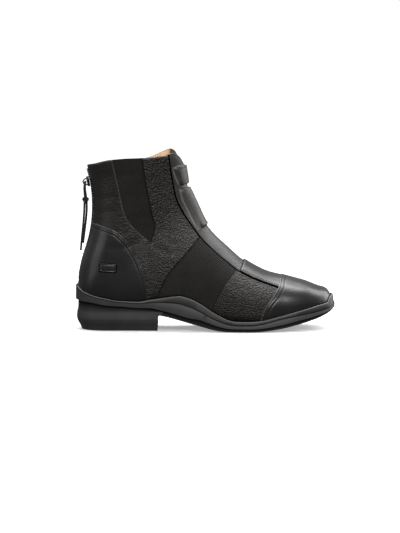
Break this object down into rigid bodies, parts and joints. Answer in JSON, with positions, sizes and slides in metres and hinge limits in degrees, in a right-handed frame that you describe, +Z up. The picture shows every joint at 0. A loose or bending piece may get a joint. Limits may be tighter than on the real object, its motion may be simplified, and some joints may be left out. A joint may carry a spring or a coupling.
{
  "type": "paddock boot",
  "caption": "Ankle-high black leather riding boot with a back zip, side elastics, padded front, toe cap and moulded heeled sole.",
  "frame": {"origin": "centre of the heel's flat underside, on the floor", "axes": "+X towards the toe, +Z up, -Y towards the boot's outer side, so +Y is the inner side of a right foot"},
  "size_m": [0.284, 0.0954, 0.1901],
  "materials": {
    "sole_rubber": "satin moulded rubber",
    "grain_leather": "tumbled grain, satin",
    "smooth_leather": "smooth, polished",
    "matte_leather": "fine grain, dull",
    "insole_leather": "tan lining leather",
    "gore_elastic": "ribbed woven elastic",
    "band_elastic": "fine ribbed woven elastic",
    "zip_fabric": "woven tape",
    "zip_plastic": "moulded coil",
    "zip_metal": "black lacquered metal",
    "thong_leather": "soft cut thong"
  },
  "bodies": {
    "root": {"sole_unit": "sole_rubber", "upper": "grain_leather", "insole": "insole_leather", "toe_cap": "smooth_leather", "vamp_front": "smooth_leather", "front_panel": "smooth_leather", "pad_top": "matte_leather", "pad_low": "matte_leather", "counter_outer": "smooth_leather", "counter_inner": "smooth_leather", "gore_outer": "gore_elastic", "gore_inner": "gore_elastic", "band_outer": "band_elastic", "band_inner": "band_elastic", "zip_tape": "zip_fabric", "zip_coil": "zip_plastic", "zip_stop": "zip_metal", "zip_slider": "zip_metal", "pull_top_long": "thong_leather", "pull_top_short": "thong_leather", "pull_knot": "thong_leather", "pull_tail_long": "thong_leather", "pull_tail_short": "thong_leather"}
  },
  "joints": []
}
